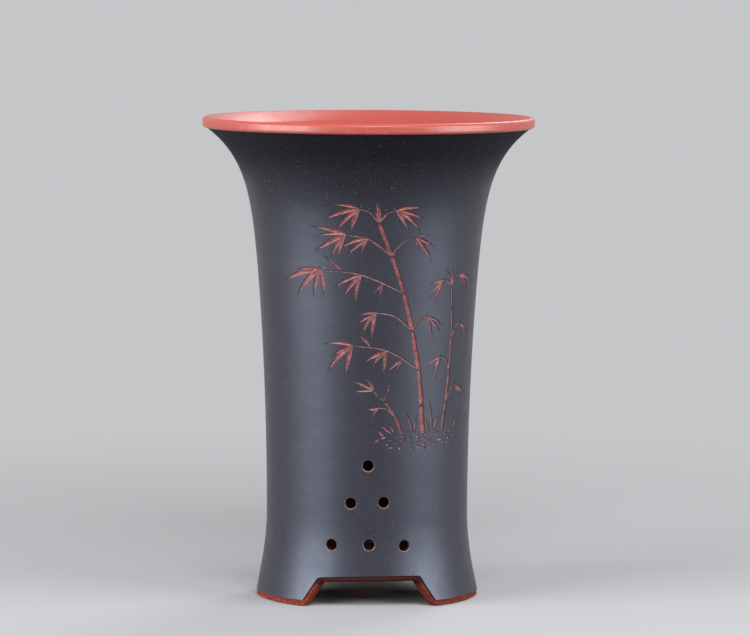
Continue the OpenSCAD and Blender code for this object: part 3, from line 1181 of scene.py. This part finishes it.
def make_feet(clay):
    """Rough ring inside the skin, cut into feet that show below it."""
    layer(("clay_feet", "foot_ring", "red_clay"), clay, (SKIN_T, FOOT_T),
          lambda depth, grow: foot_contour(depth, BARE_EDGE + RING_LOWER, 0, TOE_ROUND, grow, ROOF_DROP),
          FLOOR_Z, (RING_ROUND, RING_BACK_ROUND))


def make_lip(clay):
    """Lip with a fine crest and a slope that leads into the mouth."""
    low_corner = (RIM_R, NECK_Z)
    high_corner = (RIM_R, POT_H)
    mouth = (layer_r(NECK_Z, WALL_T), NECK_Z)
    crest = (RIM_R - LIP_TOP_ROUND, POT_H)
    throat = (mouth[0] + body_slope(NECK_Z) * (POT_H - NECK_Z) / 2, (NECK_Z + POT_H) / 2)
    low = rounded(mouth, low_corner, high_corner, LIP_LOW_ROUND, LIP_LOW_STEPS)
    shoulder = rounded(low_corner, high_corner, crest, LIP_TOP_ROUND, LIP_STEPS)
    slope = bend(crest, throat, mouth, LIP_STEPS)
    point = rounded(shoulder[-2], crest, slope[1], CREST_ROUND, CREST_STEPS)
    outline = low + shoulder[:-1] + point + slope[1:]
    turned(("clay_lip", "rim_lip", "red_clay"), clay, outline, LIP_TURN_STEPS, LIP_SHARP)


def make_floor(clay):
    """Raised floor with its drain hole."""
    r = layer_r((FLOOR_Z + FLOOR_TOP) / 2, WALL_T)
    low_edge = (r, FLOOR_Z)
    top_edge = (r, FLOOR_TOP)
    low_hole = (DRAIN_R, FLOOR_Z)
    top_hole = (DRAIN_R, FLOOR_TOP)
    outline = [low_edge, top_edge]
    outline += rounded(top_edge, top_hole, low_hole, DRAIN_TOP_ROUND, DRAIN_STEPS)
    outline += rounded(top_hole, low_hole, low_edge, DRAIN_LOW_ROUND, DRAIN_STEPS)
    turned(("clay_floor", "floor_disc", "red_clay"), clay, outline, FLOOR_TURN_STEPS, FLOOR_SHARP)


def make_seam(clay):
    """Coil of clay smoothed into the corner of floor and wall."""
    head = (layer_r(SEAM_TOP, WALL_T), SEAM_TOP)
    corner = (layer_r(FLOOR_TOP, WALL_T), FLOOR_TOP)
    foot = (corner[0] - SEAM_SIZE, FLOOR_TOP)
    outline = [corner] + bend(head, corner, foot, SEAM_STEPS)
    turned(("clay_seam", "floor_seam", "red_clay"), clay, outline, FLOOR_TURN_STEPS, FLOOR_SHARP)


# Camera, as the photograph was taken

FOCAL_PX = 4079.0
FRAME_PX = 750.0
SENSOR = 36.0
CLIP_END_M = 100
AXIS_PX = -7.25
PITCH = math.radians(5.326)
ROLL = math.radians(0.26)
CAMERA_DISTANCE = 2209.2
CAMERA_Z = 356.5


def make_camera():
    """Camera in front of the pot, a little above its rim."""
    camera_data = bpy.data.cameras.new("camera")
    camera_data.sensor_width = SENSOR
    camera_data.lens = FOCAL_PX * SENSOR / FRAME_PX
    camera_data.clip_end = CLIP_END_M
    camera = new_object("camera", camera_data)
    aside = -AXIS_PX / FOCAL_PX * CAMERA_DISTANCE
    camera.location = (aside * MM, -CAMERA_DISTANCE * MM, CAMERA_Z * MM)
    turn = Matrix.Rotation(math.pi / 2 - PITCH, 3, "X") @ Matrix.Rotation(ROLL, 3, "Z")
    camera.rotation_euler = turn.to_euler()
    bpy.context.scene.camera = camera


# Floor, lamps and world

# Size of the floor, and how far from the pot it starts and ends turning evenly bright, in metres
FLOOR_SIZE_M = 60.0
EVEN_M = (0.15, 0.75)
PALE = (0.56, 0.565, 0.58)
NEAR_PALE = (0.53, 0.535, 0.55)
BOUNCE_GREY = (0.12, 0.12, 0.125)
FLOOR_ROUGHNESS = 0.9
AMBIENT = 0.18

# Lamps: name, degrees round from the front and up, distance and size in metres, and power in watts
SOFTBOXES = [
    ("softbox_left", -60, 11, 1.2, (0.9, 0.6), 17.5),
    ("softbox_right", 66, 11, 1.2, (0.9, 0.6), 13.5),
    ("softbox_top", 9, 46, 1.3, (0.7, 0.5), 8.5),
    ("softbox_back", 154, 42, 1.3, (0.45, 0.7), 5.6),
]


def seen(tree):
    """1 for what the camera sees, directly or in a reflection or through glass."""
    path = new_node(tree, "ShaderNodeLightPath").outputs
    direct = maths(tree, "MAXIMUM", path["Is Camera Ray"], path["Is Glossy Ray"])
    return maths(tree, "MAXIMUM", direct, path["Is Transmission Ray"])


def pale_floor():
    """Pale floor that takes the pot's shadow and is evenly bright further away."""
    made, tree, shader = material("pale_floor")
    set_inputs(tree, shader, {
        "Base Color": blended(tree, seen(tree), BOUNCE_GREY, NEAR_PALE),
        "Roughness": FLOOR_ROUGHNESS,
        "Specular IOR Level": 0.0,
    })
    even = new_node(tree, "ShaderNodeEmission", {"Color": PALE, "Strength": seen(tree)})
    away = ranged(tree, size_of(tree, place(tree)), *EVEN_M)
    both = new_node(tree, "ShaderNodeMixShader", {0: away, 1: shader.outputs[0], 2: even.outputs[0]})
    set_inputs(tree, tree.nodes["Material Output"], {"Surface": both.outputs[0]})
    return made


def make_studio_floor():
    """Wide level floor under the pot."""
    half = FLOOR_SIZE_M / 2
    corners = [(-half, -half, 0), (half, -half, 0), (half, half, 0), (-half, half, 0)]
    mesh = bpy.data.meshes.new("studio_floor")
    mesh.from_pydata(corners, [], [(0, 1, 2, 3)])
    mesh.materials.append(pale_floor())
    return new_object("studio_floor", mesh)


def softbox(name, azimuth, elevation, distance, size, power):
    """Rectangular lamp that faces the middle of the pot. Azimuth 0 is behind the camera."""
    lamp = bpy.data.lights.new(name, "AREA")
    lamp.shape = "RECTANGLE"
    lamp.size, lamp.size_y = size
    lamp.energy = power
    a, e = math.radians(azimuth), math.radians(elevation)
    middle = Vector((0, 0, POT_H / 2 * MM))
    away = Vector((math.sin(a) * math.cos(e), -math.cos(a) * math.cos(e), math.sin(e)))
    made = new_object(name, lamp)
    made.location = middle + away * distance
    made.rotation_euler = away.to_track_quat("Z", "Y").to_euler()


def make_world():
    """Even pale surroundings that light the pot softly."""
    world = bpy.data.worlds.new("studio")
    world.use_nodes = True
    tree = world.node_tree
    light = ranged(tree, seen(tree), 0, 1, AMBIENT)
    set_inputs(tree, tree.nodes["Background"], {"Color": PALE, "Strength": light})
    bpy.context.scene.world = world


make_skin(dark_clay())
inside_clay = red_clay("red_clay", WALL_ROUGHNESS)
make_wall(inside_clay)
make_feet(raw_clay())
make_lip(red_clay("lip_clay", LIP_ROUGHNESS))
make_floor(inside_clay)
make_seam(inside_clay)
make_camera()
studio_floor = make_studio_floor()
for lamp_values in SOFTBOXES:
    softbox(*lamp_values)
make_world()
bpy.context.scene.view_settings.view_transform = "Standard"
